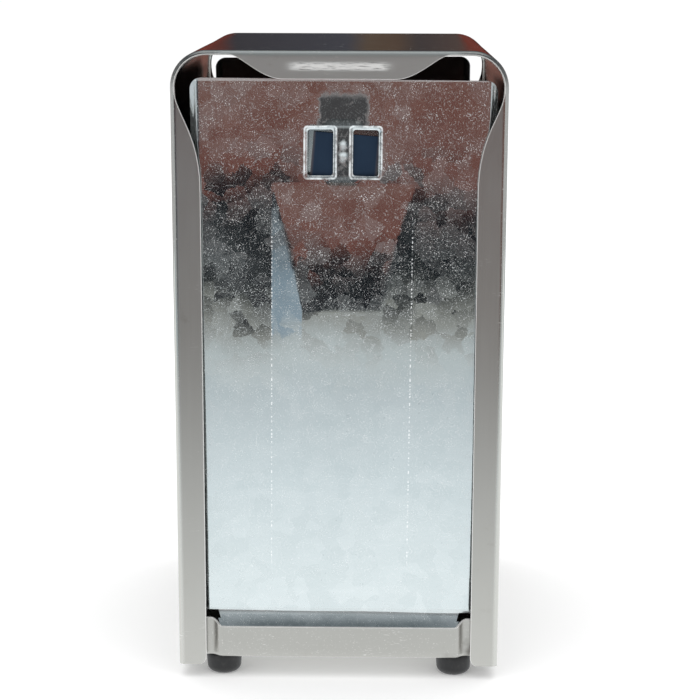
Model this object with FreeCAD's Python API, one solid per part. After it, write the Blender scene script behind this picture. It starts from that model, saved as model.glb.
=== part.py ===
"""Two-sided tall-fold napkin dispenser for a table top.

A folded stainless shell stands over a shallow base pan. A galvanised plate stands
behind each open face, and a flat spring that is riveted to the middle of the pan
pushes it outwards, so a stack of napkins loaded in front of it is always at the rim.

Millimetres. Z is up from the surface that the feet stand on, the front faces -Y,
and the origin is below the middle of the dispenser.
"""
import FreeCAD, Part
import math
import os

V = FreeCAD.Vector

# ---- overall sizes
shell_width = 101.6
shell_depth = 127.0
shell_height = 194.0

# ---- shell: one stainless sheet, wrapped over the top and folded in at both faces
shell_sheet = 0.8
corner_radius = 11.0        # outside radius of the two upper corners
fold_radius = 1.6           # outside radius of the fold round each face
rim_width = 1.2             # what is left of the fold round the upper corners
side_flange = 8.8           # in-turned flange down each side
top_flange = 8.5            # in-turned tongue across the top
side_sweep = 31.0           # height over which the side flange fades into the corner
side_sweep_low = 18.0       # pull of that curve at its lower end
side_sweep_high = 8.0       # pull of that curve at the corner
top_sweep = 16.6            # length over which the top tongue fades into the rim
top_sweep_low = 7.0         # pull of that curve at the tongue
top_sweep_high = 4.0        # pull of that curve at the rim
corner_to_sweep = 6.4       # straight rim between the corner and the top tongue's curve
flange_end_radius = 2.6     # rounding of the side flanges' lower ends

# ---- base pan: a shallow stainless tray, spot-welded between the shell's sides
pan_sheet = 0.8
pan_rise = 2.3              # pan's underside above the shell's lower edge
pan_bend = 1.6              # outside radius where the floor turns up
lip_height = 10.5           # front and rear lips, from the pan's underside
ear_height = 12.9           # ears and side walls, from the pan's underside
ear_inset = 1.2             # from the side flange's edge to where an ear begins
ear_run = 4.2               # width of the curve from the lip back to the ear
ear_setback = 1.9           # how far the ears stand behind the lip's face
ear_rise_run = 3.8          # width over which the lip's edge climbs to the ear
pan_corner = 7.0            # outside radius of the tray's corners in plan

# ---- follower plates: galvanised sheet, one behind each open face
plate_sheet = 0.8
plate_top_gap = 8.5         # shell's top to the plate's upper edge
plate_bend_height = 16.3    # shell's lower edge to the bend at the plate's foot
plate_top_setback = 1.4     # shell's face to the plate, at its upper edge
plate_foot_setback = 5.4    # shell's face to the plate, at the bend
plate_overlap_top = 4.4     # how far the plate reaches behind a side flange, at the top
plate_overlap_foot = 2.4    # the same at the bend
plate_skew = 0.45           # how far each plate sits off upright, clockwise from outside, in degrees
plate_corner = 3.6
edge_band = 2.8             # width of the plate's turned-back side edges
edge_angle = 26.0           # how far those edges turn back, in degrees
foot_angle = 45.0           # how far the foot turns forward, in degrees
foot_bend = 0.8             # inside radius of that bend
foot_overhang = 5.9         # plate's side edge to the foot's end, at the bend
foot_end_cut = 1.9          # how much each end of the foot is cut back at its free edge
foot_clearance = 0.3        # foot's free edge to the lip

# ---- stiffening panel pressed forward in each plate
panel_height = 1.0
panel_half_width = 21.6
panel_floor_half_width = 12.0
panel_top_drop = 32.0       # plate's upper edge to the start of the panel's ramp
panel_floor_drop = 70.5     # plate's upper edge to the top of the panel's flat
panel_floor_rise = 5.5      # bend to the bottom of the panel's flat
panel_start = 0.8           # bend to the bottom of the panel's slope
panel_top_corner = 5.0
panel_foot_corner = 0.5
panel_floor_top_corner = 5.0
panel_floor_foot_corner = 9.0

# ---- pair of windows near the plate's upper edge, and the bridge between them
window_width = 7.8
window_height = 14.0
window_drop = 15.1          # plate's upper edge to the windows
window_corner = 0.9
bridge_width = 6.0
bridge_press = 0.5          # how far the bridge is pressed back for its weld
bridge_slope = 2.2          # length of the slope at each end of the bridge
weld_radius = 3.0           # ball that marks the spot weld
weld_depth = 0.3

# ---- spring saddles: galvanised plates that clamp the springs' ends behind the bridges
saddle_sheet = 0.6
saddle_margin_side = 3.2    # how far the saddle reaches past the windows, at each side
saddle_margin = 3.2         # the same above and below
saddle_corner = 2.0
saddle_skew = 4.5           # how far saddle and spring's end sit off square, in degrees
saddle_pivot_drop = 9.1     # windows' middle to the point that they are turned about

# ---- leaf springs
leaf_sheet = 0.5
leaf_width = 20.2
leaf_floor_gap = 0.6        # pan's floor to the spring's lower end
leaf_tip_drop = 1.4         # windows' upper edge to the spring's upper end
leaf_end = 36.0             # straight upper end that lies along the plate
leaf_lap = 6.0              # run over which the curve's own strip goes on below that end
leaf_pull = 0.42            # share of the rise over which each end of the curve stays upright
leaf_steps = 16             # points that carry the curve across the sheet's thickness

# ---- spring anchor: a channel riveted to the middle of the pan
anchor_sheet = 1.2
anchor_width = 28.0
anchor_depth = 10.0         # over the channel's two walls
anchor_height = 16.0
anchor_bend = 1.0           # inside radius of its two bends
anchor_rivet_spacing = 15.0
anchor_rivet_height = 10.5  # pan's floor to the rivets through the springs
floor_rivet_spacing = 16.0

# ---- rivets and washers
rivet_radius = 1.5
rivet_head_radius = 2.4
rivet_head_height = 1.1
rivet_clearance = 0.08      # round each shank
washer_radius = 2.4
washer_thickness = 0.5

# ---- rubber feet
foot_height = 6.8
foot_radius = 5.8
foot_round = 2.1            # rounding of the foot's lower edge
foot_side_taper = 0.35      # how much narrower the foot is where the rounding starts
foot_recess_radius = 2.5
foot_recess_depth = 3.2
foot_side_inset = 13.8      # shell's side to the foot's centre
foot_face_inset = 8.0       # shell's face to the foot's centre

# ---- sizes that follow
half_width = shell_width / 2
half_depth = shell_depth / 2
shell_foot = foot_height - pan_rise
shell_top = shell_foot + shell_height
pan_floor = foot_height + pan_sheet
opening_half_width = half_width - side_flange
plate_bend = shell_foot + plate_bend_height
plate_height = shell_top - plate_top_gap - plate_bend
plate_lean = math.atan2(plate_foot_setback - plate_top_setback, plate_height)
plate_half_top = opening_half_width + plate_overlap_top
plate_half_foot = opening_half_width + plate_overlap_foot
window_centre = plate_height - window_drop - window_height / 2
pressed_width = bridge_width + 2 * window_corner
saddle_half = bridge_width / 2 + window_width + saddle_margin_side
saddle_half_height = window_height / 2 + saddle_margin
saddle_pivot = window_centre - saddle_pivot_drop
leaf_face = plate_sheet + bridge_press
leaf_back = leaf_face + leaf_sheet
leaf_tip = window_centre + window_height / 2 - leaf_tip_drop
leaf_lay = leaf_tip - leaf_end
shank_hole = rivet_radius + rivet_clearance

# ---- working sizes
overrun = 10.0              # how far a cutting shape runs past what it cuts
same_place = 1e-6           # two heights closer than this count as one

nodes = {}


# ---- general shapes

def closed_face(edges):
    """Flat face inside a loop of edges that are already in order."""
    return Part.Face(Part.Wire(edges))


def polygon_face(points):
    """Flat face inside straight sides."""
    return Part.Face(Part.makePolygon(points + [points[0]]))


def line(start, end):
    return Part.makeLine(start, end)


def on_circle(centre, radius, angle):
    """Point of a circle in the XZ plane, at an angle from +X."""
    return centre + V(radius * math.cos(angle), 0, radius * math.sin(angle))


def sweep_curve(start, start_pull, end_pull, end):
    """S-curve from start to end; each pull is the vector that it leaves that end along."""
    curve = Part.BezierCurve()
    curve.setPoles([start, start + start_pull, end + end_pull, end])
    return curve.toShape()


def rounded_rectangle(low_x, high_x, low_z, high_z, low_radius, high_radius, y):
    """Loop in the plane of a plate, with one radius at its foot and one at its top."""
    corners = [
        (high_x, low_z, -1, 1, low_radius, -45),
        (high_x, high_z, -1, -1, high_radius, 45),
        (low_x, high_z, 1, -1, high_radius, 135),
        (low_x, low_z, 1, 1, low_radius, 225),
    ]
    edges = []
    previous = V(low_x + low_radius, y, low_z)
    for x, z, side_x, side_z, radius, angle in corners:
        centre = V(x + side_x * radius, y, z + side_z * radius)
        start, middle, end = [on_circle(centre, radius, math.radians(angle + turn)) for turn in (-45, 0, 45)]
        edges.append(line(previous, start))
        edges.append(Part.Arc(start, middle, end).toShape())
        previous = end
    return Part.Wire(edges)


def left_of(direction):
    """Unit vector to the left of a direction in the YZ plane, seen with Y to the right."""
    return V(0, -direction.z, direction.y).normalize()


def rounded_path(points, radii):
    """Edges of straight runs in the YZ plane, joined by an arc at each inner point."""
    edges = []
    start = points[0]
    for before, corner, after, radius in zip(points, points[1:], points[2:], radii):
        arrive = (corner - before).normalize()
        leave = (after - corner).normalize()
        turn = arrive.getAngle(leave)
        first = corner - arrive * (radius * math.tan(turn / 2))
        last = corner + leave * (radius * math.tan(turn / 2))
        inward = (leave - arrive).normalize()
        middle = corner + inward * (radius / math.cos(turn / 2) - radius)
        edges.append(line(start, first))
        edges.append(Part.Arc(first, middle, last).toShape())
        start = last
    edges.append(line(start, points[-1]))
    return edges


def sheet_solid(near, far, low_x, high_x):
    """Sheet between its near and far sides, which are lists of edges in the YZ plane."""
    ends = [line(near[0].valueAt(near[0].FirstParameter), far[0].valueAt(far[0].FirstParameter)),
            line(near[-1].valueAt(near[-1].LastParameter), far[-1].valueAt(far[-1].LastParameter))]
    solid = closed_face(Part.__sortEdges__(near + far + ends)).extrude(V(high_x - low_x, 0, 0))
    solid.translate(V(low_x, 0, 0))
    return solid


def bent_sheet(points, sheet, bend, low_x, high_x):
    """Sheet to the left of a path of straight runs; bend is the inside radius of each corner."""
    runs = [(after - before).normalize() for before, after in zip(points, points[1:])]
    sides = [left_of(run) for run in runs]
    far_points = [points[0] + sides[0] * sheet]
    near_radii = []
    far_radii = []
    for corner, run, before, after in zip(points[1:], runs, sides, sides[1:]):
        far_points.append(corner + (before + after) * (sheet / (1 + before.dot(after))))
        turns_left = after.dot(run) < 0
        near_radii.append(bend + sheet if turns_left else bend)
        far_radii.append(bend if turns_left else bend + sheet)
    far_points.append(points[-1] + sides[-1] * sheet)
    return sheet_solid(rounded_path(points, near_radii), rounded_path(far_points, far_radii), low_x, high_x)


def turned(edges):
    """Solid of revolution about Z, from a closed loop of edges in the XZ half plane."""
    return closed_face(edges).revolve(V(0, 0, 0), V(0, 0, 1), 360)


def dome_edge(tip_z, rim_z, radius):
    """Edge of a domed head, from its tip on the axis to its rim."""
    height = rim_z - tip_z
    ball = (radius * radius + height * height) / (2 * abs(height))
    centre_z = tip_z + math.copysign(ball, height)
    half_turn = math.asin(radius / ball) / 2
    middle = V(ball * math.sin(half_turn), 0, centre_z - math.copysign(ball, height) * math.cos(half_turn))
    return Part.Arc(V(0, 0, tip_z), middle, V(radius, 0, rim_z)).toShape()


def rivet(grip):
    """Rivet along Z with a domed head at each end; grip is the stack that it holds."""
    points = [V(rivet_head_radius, 0, 0), V(rivet_radius, 0, 0), V(rivet_radius, 0, grip),
              V(rivet_head_radius, 0, grip)]
    low_tip = V(0, 0, -rivet_head_height)
    high_tip = V(0, 0, grip + rivet_head_height)
    edges = [dome_edge(-rivet_head_height, 0, rivet_head_radius)]
    for first, second in zip(points, points[1:]):
        edges.append(line(first, second))
    edges.append(dome_edge(grip + rivet_head_height, grip, rivet_head_radius))
    edges.append(line(high_tip, low_tip))
    return turned(edges)


def facing_back(shape):
    """Copy of a front piece, turned round for the rear."""
    copy = shape.copy()
    copy.rotate(V(0, 0, 0), V(0, 0, 1), 180)
    return copy


# ---- rivets' places, each from left to right and from front to rear

def drill(centre, along, reach):
    """Cutter for a rivet's hole, running past its centre both ways by reach."""
    return Part.makeCylinder(shank_hole, 2 * reach, centre - along * reach, along)


def spaced(distance):
    """Two places along X, a distance apart about the middle."""
    return [-distance / 2, distance / 2]


def anchor_rivet_places():
    return [(x, pan_floor + anchor_rivet_height) for x in spaced(anchor_rivet_spacing)]


def floor_rivet_places():
    return [(x, 0) for x in spaced(floor_rivet_spacing)]


def foot_places():
    x = half_width - foot_side_inset
    y = half_depth - foot_face_inset
    return [(-x, -y), (x, -y), (-x, y), (x, y)]


# ---- shell

def arch(half, low, high, radius, depth):
    """Solid with the shell's arched outline; depth is half its length along Y."""
    knee = high - radius
    shoulder = half - radius
    turn = radius * math.sqrt(0.5)
    edges = [
        line(V(-half, 0, low), V(-half, 0, knee)),
        Part.Arc(V(-half, 0, knee), V(-shoulder - turn, 0, knee + turn), V(-shoulder, 0, high)).toShape(),
        line(V(-shoulder, 0, high), V(shoulder, 0, high)),
        Part.Arc(V(shoulder, 0, high), V(shoulder + turn, 0, knee + turn), V(half, 0, knee)).toShape(),
        line(V(half, 0, knee), V(half, 0, low)),
        line(V(half, 0, low), V(-half, 0, low)),
    ]
    solid = closed_face(edges).extrude(V(0, 2 * depth, 0))
    solid.translate(V(0, -depth, 0))
    return solid


def round_faces(solid, depth, low, radius):
    """Round the edges of an arch's two flat faces, apart from the one across the foot."""
    edges = []
    for edge in solid.Edges:
        box = edge.BoundBox
        on_face = box.YLength < same_place and abs(abs(box.YMin) - depth) < same_place
        if on_face and box.ZMax > low + same_place:
            edges.append(edge)
    return solid.makeFillet(radius, edges)


def half_opening(side):
    """Right (side 1) or left (side -1) edges of a face's opening, from the foot to the top."""
    low = shell_foot
    sweep_foot = shell_top - corner_radius - side_sweep
    knee = shell_top - corner_radius
    shoulder = half_width - corner_radius
    rim_turn = (corner_radius - rim_width) * math.sqrt(0.5)
    rim_x = half_width - rim_width
    rim_z = shell_top - rim_width
    tongue = shell_top - top_flange
    sweep_outer = shoulder - corner_to_sweep
    sweep_inner = sweep_outer - top_sweep
    end_x = opening_half_width + flange_end_radius
    turn = flange_end_radius * math.sqrt(0.5)

    def at(x, z):
        return V(side * x, 0, z)

    return [
        line(at(end_x, low - overrun), at(end_x, low)),
        Part.Arc(at(end_x, low), at(end_x - turn, low + flange_end_radius - turn),
                 at(opening_half_width, low + flange_end_radius)).toShape(),
        line(at(opening_half_width, low + flange_end_radius), at(opening_half_width, sweep_foot)),
        sweep_curve(at(opening_half_width, sweep_foot), V(0, 0, side_sweep_low),
                    V(0, 0, -side_sweep_high), at(rim_x, knee)),
        Part.Arc(at(rim_x, knee), at(shoulder + rim_turn, knee + rim_turn), at(shoulder, rim_z)).toShape(),
        line(at(shoulder, rim_z), at(sweep_outer, rim_z)),
        sweep_curve(at(sweep_outer, rim_z), V(-side * top_sweep_high, 0, 0),
                    V(side * top_sweep_low, 0, 0), at(sweep_inner, tongue)),
    ]


def make_shell():
    outer = arch(half_width, shell_foot, shell_top, corner_radius, half_depth)
    outer = round_faces(outer, half_depth, shell_foot, fold_radius)
    inner_depth = half_depth - shell_sheet
    inner_low = shell_foot - overrun
    inner = arch(half_width - shell_sheet, inner_low, shell_top - shell_sheet, corner_radius - shell_sheet,
                 inner_depth)
    inner = round_faces(inner, inner_depth, inner_low, fold_radius - shell_sheet)
    right = half_opening(1)
    left = half_opening(-1)
    across_top = line(right[-1].Vertexes[-1].Point, left[-1].Vertexes[-1].Point)
    across_foot = line(left[0].Vertexes[0].Point, right[0].Vertexes[0].Point)
    loop = Part.__sortEdges__(right + [across_top] + left + [across_foot])
    opening = closed_face(loop).extrude(V(0, shell_depth + 2 * overrun, 0))
    opening.translate(V(0, -half_depth - overrun, 0))
    return outer.cut(inner).cut(opening)


# ---- base pan

def pan_block(inset, low, high, bend):
    """Solid with the pan's outline in plan, drawn in by inset, with a rounded foot."""
    ear_x = opening_half_width - ear_inset
    lip_x = ear_x - ear_run
    side_x = half_width - shell_sheet - inset
    lip_y = half_depth - inset
    ear_y = lip_y - ear_setback
    radius = pan_corner - inset
    turn = radius * math.sqrt(0.5)
    pull = ear_run / 2

    def quarter(x_side, y_side):
        def at(x, y):
            return V(x_side * x, y_side * y, low)

        return [
            line(at(0, lip_y), at(lip_x, lip_y)),
            sweep_curve(at(lip_x, lip_y), V(x_side * pull, 0, 0), V(-x_side * pull, 0, 0), at(ear_x, ear_y)),
            line(at(ear_x, ear_y), at(side_x - radius, ear_y)),
            Part.Arc(at(side_x - radius, ear_y), at(side_x - radius + turn, ear_y - radius + turn),
                     at(side_x, ear_y - radius)).toShape(),
            line(at(side_x, ear_y - radius), at(side_x, 0)),
        ]

    edges = []
    for x_side, y_side in ((1, 1), (1, -1), (-1, -1), (-1, 1)):
        edges.extend(quarter(x_side, y_side))
    block = closed_face(Part.__sortEdges__(edges)).extrude(V(0, 0, high - low))
    foot_edges = [edge for edge in block.Edges if edge.BoundBox.ZMax < low + same_place]
    return block.makeFillet(bend, foot_edges)


def make_pan():
    low = foot_height
    high = foot_height + ear_height
    lip = foot_height + lip_height
    tray = pan_block(0, low, high, pan_bend)
    tray = tray.cut(pan_block(pan_sheet, pan_floor, high + overrun, pan_bend - pan_sheet))
    ear_x = opening_half_width - ear_inset
    lip_x = ear_x - ear_rise_run
    pull = ear_rise_run / 2
    notch = [
        line(V(-lip_x, 0, lip), V(lip_x, 0, lip)),
        sweep_curve(V(lip_x, 0, lip), V(pull, 0, 0), V(-pull, 0, 0), V(ear_x, 0, high)),
        line(V(ear_x, 0, high), V(ear_x, 0, high + overrun)),
        line(V(ear_x, 0, high + overrun), V(-ear_x, 0, high + overrun)),
        line(V(-ear_x, 0, high + overrun), V(-ear_x, 0, high)),
        sweep_curve(V(-ear_x, 0, high), V(pull, 0, 0), V(-pull, 0, 0), V(-lip_x, 0, lip)),
    ]
    cutter = closed_face(notch).extrude(V(0, shell_depth + 2 * overrun, 0))
    cutter.translate(V(0, -half_depth - overrun, 0))
    tray = tray.cut(cutter)
    for x, y in foot_places() + floor_rivet_places():
        tray = tray.cut(drill(V(x, y, pan_floor), V(0, 0, 1), overrun))
    return tray


# ---- follower plate, drawn upright with its bend at z 0 and its front face at y 0

def stand_plate(shape):
    """Turn a plate's piece off upright, lean it forward and set it behind the front face."""
    shape.rotate(V(0, 0, 0), V(0, 1, 0), plate_skew)
    shape.rotate(V(0, 0, 0), V(1, 0, 0), math.degrees(plate_lean))
    shape.translate(V(0, plate_foot_setback - half_depth, plate_bend))
    return shape


def plate_point(y, z):
    """Where a point of the plate's own drawing stands in the dispenser, moved to the middle plane."""
    point = stand_plate(Part.Vertex(0, y, z)).Point
    return V(0, point.y, point.z)


def plate_section(half, z):
    """Thickness of the plate at one height, with its turned-back edges."""
    angle = math.radians(edge_angle)
    flat = half - edge_band * math.cos(angle)
    back = edge_band * math.sin(angle)
    rear_flat = flat - plate_sheet * math.tan(angle / 2)
    rear_half = half - plate_sheet * math.sin(angle)
    rear_back = back + plate_sheet * math.cos(angle)
    right = [(flat, 0), (half, back), (rear_half, rear_back), (rear_flat, plate_sheet)]
    left = [(-x, y) for x, y in reversed(right)]
    points = [V(x, y, z) for x, y in right + left]
    return Part.makePolygon(points + [points[0]])


def panel_block(shift):
    """Solid between the plate's own face and the raised panel, moved back by shift."""
    outer = rounded_rectangle(-panel_half_width, panel_half_width, panel_start, plate_height - panel_top_drop,
                              panel_foot_corner, panel_top_corner, shift)
    floor = rounded_rectangle(-panel_floor_half_width, panel_floor_half_width, panel_floor_rise,
                              plate_height - panel_floor_drop, panel_floor_foot_corner,
                              panel_floor_top_corner, shift - panel_height)
    return Part.makeLoft([outer, floor], True, True)


def window_block(side):
    """Cutter for one window."""
    inner = bridge_width / 2
    outer = bridge_width / 2 + window_width
    low_x = min(side * inner, side * outer)
    high_x = max(side * inner, side * outer)
    low_z = window_centre - window_height / 2
    high_z = window_centre + window_height / 2
    loop = rounded_rectangle(low_x, high_x, low_z, high_z, window_corner, window_corner, -overrun)
    return Part.Face(loop).extrude(V(0, 2 * overrun, 0))


def plate_foot():
    """Strip along the plate's lower edge, bent forward to rest behind the lip."""
    angle = math.radians(foot_angle)
    reach = plate_foot_setback - pan_sheet - foot_clearance
    run = (reach - foot_bend * (1 - math.cos(angle))) / math.sin(angle)
    along = V(0, -math.sin(angle), -math.cos(angle))
    centre = V(0, -foot_bend, 0)

    def round_bend(radius, turn):
        return centre + V(0, radius * math.cos(turn), -radius * math.sin(turn))

    outside = foot_bend + plate_sheet
    front = [round_bend(foot_bend, turn) for turn in (0, angle / 2, angle)]
    rear = [round_bend(outside, turn) for turn in (0, angle / 2, angle)]
    edges = [
        line(rear[0], front[0]),
        Part.Arc(*front).toShape(),
        line(front[2], front[2] + along * run),
        line(front[2] + along * run, rear[2] + along * run),
        line(rear[2] + along * run, rear[2]),
        Part.Arc(rear[2], rear[1], rear[0]).toShape(),
    ]
    half = plate_half_foot - foot_overhang
    strip = closed_face(edges).extrude(V(2 * half, 0, 0))
    strip.translate(V(-half, 0, 0))
    drop = outside * math.sin(angle) + run * math.cos(angle)
    low = -drop - overrun
    low_half = half + foot_end_cut * low / drop
    for side in (1, -1):
        wedge = polygon_face([V(side * half, -overrun, 0), V(side * (half + overrun), -overrun, 0),
                              V(side * (half + overrun), -overrun, low), V(side * low_half, -overrun, low)])
        strip = strip.cut(wedge.extrude(V(0, 2 * overrun, 0)))
    return strip


def plate_bridge():
    """Strip between the windows, pressed back so that it meets the saddle."""
    low = window_centre - window_height / 2 - bridge_slope
    high = window_centre + window_height / 2 + bridge_slope
    front = [(0, low), (bridge_press, low + bridge_slope), (bridge_press, high - bridge_slope), (0, high)]
    rear = [(y + plate_sheet, z) for y, z in reversed(front)]
    strip = polygon_face([V(0, y, z) for y, z in front + rear]).extrude(V(pressed_width, 0, 0))
    strip.translate(V(-pressed_width / 2, 0, 0))
    weld = Part.makeSphere(weld_radius, V(0, bridge_press + weld_depth - weld_radius, window_centre))
    return strip.cut(weld)


def make_plate():
    plate = Part.makeLoft([plate_section(plate_half_foot, 0), plate_section(plate_half_top, plate_height)],
                          True, True)
    for side in (1, -1):
        centre_x = side * (plate_half_top - plate_corner)
        centre_z = plate_height - plate_corner
        low_x = min(centre_x, centre_x + side * 2 * plate_corner)
        corner = Part.makeBox(2 * plate_corner, 2 * overrun, 2 * plate_corner, V(low_x, -overrun, centre_z))
        disc = Part.makeCylinder(plate_corner, 2 * overrun, V(centre_x, -overrun, centre_z), V(0, 1, 0))
        plate = plate.cut(corner.cut(disc))
    plate = plate.fuse(panel_block(0)).cut(panel_block(plate_sheet))
    bridge_length = window_height + 2 * bridge_slope
    slot = Part.makeBox(pressed_width, 2 * overrun, bridge_length,
                        V(-pressed_width / 2, -overrun, window_centre - bridge_length / 2))
    plate = plate.cut(slot).fuse(plate_bridge())
    for side in (1, -1):
        plate = plate.cut(window_block(side))
    plate = plate.fuse(plate_foot()).removeSplitter()
    return stand_plate(plate)


# ---- spring saddle, drawn in the plate's own frame

def skewed(shape):
    """Turn a piece off square behind the windows."""
    shape.rotate(V(0, 0, saddle_pivot), V(0, 1, 0), saddle_skew)
    return shape


def make_saddle():
    corner = V(-saddle_half, leaf_back, window_centre - saddle_half_height)
    sheet = Part.makeBox(2 * saddle_half, saddle_sheet, 2 * saddle_half_height, corner)
    upright = [edge for edge in sheet.Edges if edge.BoundBox.YLength > same_place]
    return stand_plate(skewed(sheet.makeFillet(saddle_corner, upright)))


# ---- leaf spring: up the anchor's wall, out in one long S, up behind the plate's bridge

def beside_curve(edge, sheet):
    """Curve that runs a sheet's thickness to the left of an S-curve."""
    first, last = edge.ParameterRange
    points = []
    for step in range(leaf_steps + 1):
        at = first + (last - first) * step / leaf_steps
        points.append(edge.valueAt(at) + left_of(edge.tangentAt(at)) * sheet)
    curve = Part.BSplineCurve()
    curve.interpolate(Points=points, InitialTangent=edge.tangentAt(first), FinalTangent=edge.tangentAt(last))
    return curve.toShape()


def make_leaf():
    wall = -anchor_depth / 2
    heel = V(0, wall, pan_floor + leaf_floor_gap)
    leave = V(0, wall, pan_floor + anchor_height)
    arrive = plate_point(leaf_back, leaf_lay)
    tip = plate_point(leaf_back, leaf_lay + leaf_lap)
    rise = (arrive.z - leave.z) * leaf_pull
    upright = (tip - arrive).normalize()
    curve = sweep_curve(leave, V(0, 0, rise), upright * -rise, arrive)
    side = left_of(upright) * leaf_sheet
    back = V(0, -leaf_sheet, 0)
    near = [line(heel, leave), curve, line(arrive, tip)]
    far = [line(heel + back, leave + back), beside_curve(curve, leaf_sheet), line(arrive + side, tip + side)]
    leaf = sheet_solid(near, far, -leaf_width / 2, leaf_width / 2)
    for x, z in anchor_rivet_places():
        leaf = leaf.cut(drill(V(x, wall, z), V(0, 1, 0), overrun))
    end = Part.makeBox(leaf_width, leaf_sheet, leaf_end, V(-leaf_width / 2, leaf_face, leaf_lay))
    return leaf.fuse(stand_plate(skewed(end))).removeSplitter()


# ---- spring anchor

def make_anchor():
    wall = anchor_depth / 2
    high = pan_floor + anchor_height
    path = [V(0, -wall, high), V(0, -wall, pan_floor), V(0, wall, pan_floor), V(0, wall, high)]
    channel = bent_sheet(path, anchor_sheet, anchor_bend, -anchor_width / 2, anchor_width / 2)
    for x, z in anchor_rivet_places():
        channel = channel.cut(drill(V(x, 0, z), V(0, 1, 0), wall + overrun))
    for x, y in floor_rivet_places():
        channel = channel.cut(drill(V(x, y, pan_floor), V(0, 0, 1), overrun))
    return channel


# ---- feet

def make_foot():
    """Rubber foot, with a recess below for the rivet's head and its washer."""
    waist = foot_radius - foot_side_taper
    round_low = V(waist - foot_round, 0, 0)
    round_centre = V(waist - foot_round, 0, foot_round)
    turn = foot_round * math.sqrt(0.5)
    start = V(foot_recess_radius, 0, 0)
    edges = [
        line(start, round_low),
        Part.Arc(round_low, round_centre + V(turn, 0, -turn), V(waist, 0, foot_round)).toShape(),
        line(V(waist, 0, foot_round), V(foot_radius, 0, foot_height)),
        line(V(foot_radius, 0, foot_height), V(shank_hole, 0, foot_height)),
        line(V(shank_hole, 0, foot_height), V(shank_hole, 0, foot_recess_depth)),
        line(V(shank_hole, 0, foot_recess_depth), V(foot_recess_radius, 0, foot_recess_depth)),
        line(V(foot_recess_radius, 0, foot_recess_depth), start),
    ]
    return turned(edges)


def make_washer():
    disc = Part.makeCylinder(washer_radius, washer_thickness)
    return disc.cut(Part.makeCylinder(shank_hole, washer_thickness))


def placed(shape, x, y, z):
    copy = shape.copy()
    copy.translate(V(x, y, z))
    return copy


# ---- the assembly

nodes["shell"] = make_shell()
nodes["base_pan"] = make_pan()
nodes["spring_anchor"] = make_anchor()

front_plate = make_plate()
front_saddle = make_saddle()
front_leaf = make_leaf()
for piece, name in ((front_plate, "plate"), (front_saddle, "saddle"), (front_leaf, "leaf_spring")):
    nodes["front_" + name] = piece
    nodes["rear_" + name] = facing_back(piece)

anchor_rivet = rivet(anchor_depth + 2 * leaf_sheet)
anchor_rivet.rotate(V(0, 0, 0), V(1, 0, 0), -90)
anchor_rivet.translate(V(0, -anchor_depth / 2 - leaf_sheet, 0))
for side, (x, z) in zip(("left", "right"), anchor_rivet_places()):
    nodes["anchor_rivet_" + side] = placed(anchor_rivet, x, 0, z)

floor_rivet = rivet(pan_sheet + anchor_sheet)
for side, (x, y) in zip(("left", "right"), floor_rivet_places()):
    nodes["floor_rivet_" + side] = placed(floor_rivet, x, y, foot_height)

foot = make_foot()
washer = make_washer()
washer_z = foot_recess_depth - washer_thickness
foot_rivet = rivet(pan_floor - washer_z)
for corner, (x, y) in zip(("front_left", "front_right", "rear_left", "rear_right"), foot_places()):
    nodes["foot_" + corner] = placed(foot, x, y, 0)
    nodes["foot_washer_" + corner] = placed(washer, x, y, washer_z)
    nodes["foot_rivet_" + corner] = placed(foot_rivet, x, y, washer_z)

os.makedirs("parts", exist_ok=True)
for name, shape in nodes.items():
    shape.exportStep("parts/" + name + ".step")
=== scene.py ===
import bmesh
import bpy
import math
from mathutils import Matrix, Vector


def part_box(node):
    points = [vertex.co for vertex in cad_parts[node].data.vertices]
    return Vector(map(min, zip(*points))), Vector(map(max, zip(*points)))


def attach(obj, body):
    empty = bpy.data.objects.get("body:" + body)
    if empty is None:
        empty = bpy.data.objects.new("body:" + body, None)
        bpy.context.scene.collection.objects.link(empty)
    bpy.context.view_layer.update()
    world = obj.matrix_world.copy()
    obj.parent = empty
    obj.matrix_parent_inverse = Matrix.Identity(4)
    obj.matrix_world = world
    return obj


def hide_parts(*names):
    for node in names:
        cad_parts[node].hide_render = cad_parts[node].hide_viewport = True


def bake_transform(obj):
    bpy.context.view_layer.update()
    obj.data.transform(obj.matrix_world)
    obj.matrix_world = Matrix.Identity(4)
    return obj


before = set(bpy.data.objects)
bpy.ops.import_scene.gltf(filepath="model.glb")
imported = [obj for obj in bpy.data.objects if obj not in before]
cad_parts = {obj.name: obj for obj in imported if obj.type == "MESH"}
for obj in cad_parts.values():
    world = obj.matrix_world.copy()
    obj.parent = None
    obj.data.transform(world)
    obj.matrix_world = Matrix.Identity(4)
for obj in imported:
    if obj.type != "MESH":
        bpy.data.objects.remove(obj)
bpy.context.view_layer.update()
mm = 0.001

# ----------------------------------------
# Shell. One sheet of 0.8 mm stainless steel, bent over two rounded shoulders and folded in all
# round both open faces, so that the folds stiffen it. Its grain was brushed along the wrap before
# bending: upright on the sides and flanges, and from side to side on the top and its tongue.

shell_low, shell_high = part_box("shell")
half_width = shell_high.x
half_depth = shell_high.y
shell_foot = shell_low.z
shell_top = shell_high.z
shell_sheet = 0.8 * mm
corner_radius = 11.0 * mm
fold_radius = 1.6 * mm
rim_width = 1.2 * mm
side_flange = 8.8 * mm
top_flange = 8.5 * mm
side_sweep = 31.0 * mm
side_sweep_pulls = (18.0 * mm, 8.0 * mm)
top_sweep = 16.6 * mm
top_sweep_pulls = (4.0 * mm, 7.0 * mm)
corner_to_sweep = 6.4 * mm
flange_end_radius = 2.6 * mm
cut_edge = 0.14 * mm            # how far the sheet's cut edges are broken
wall_dip = 0.22 * mm            # how far the broad walls hollow inwards


def between(low, high, share):
    return low + (high - low) * share


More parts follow.
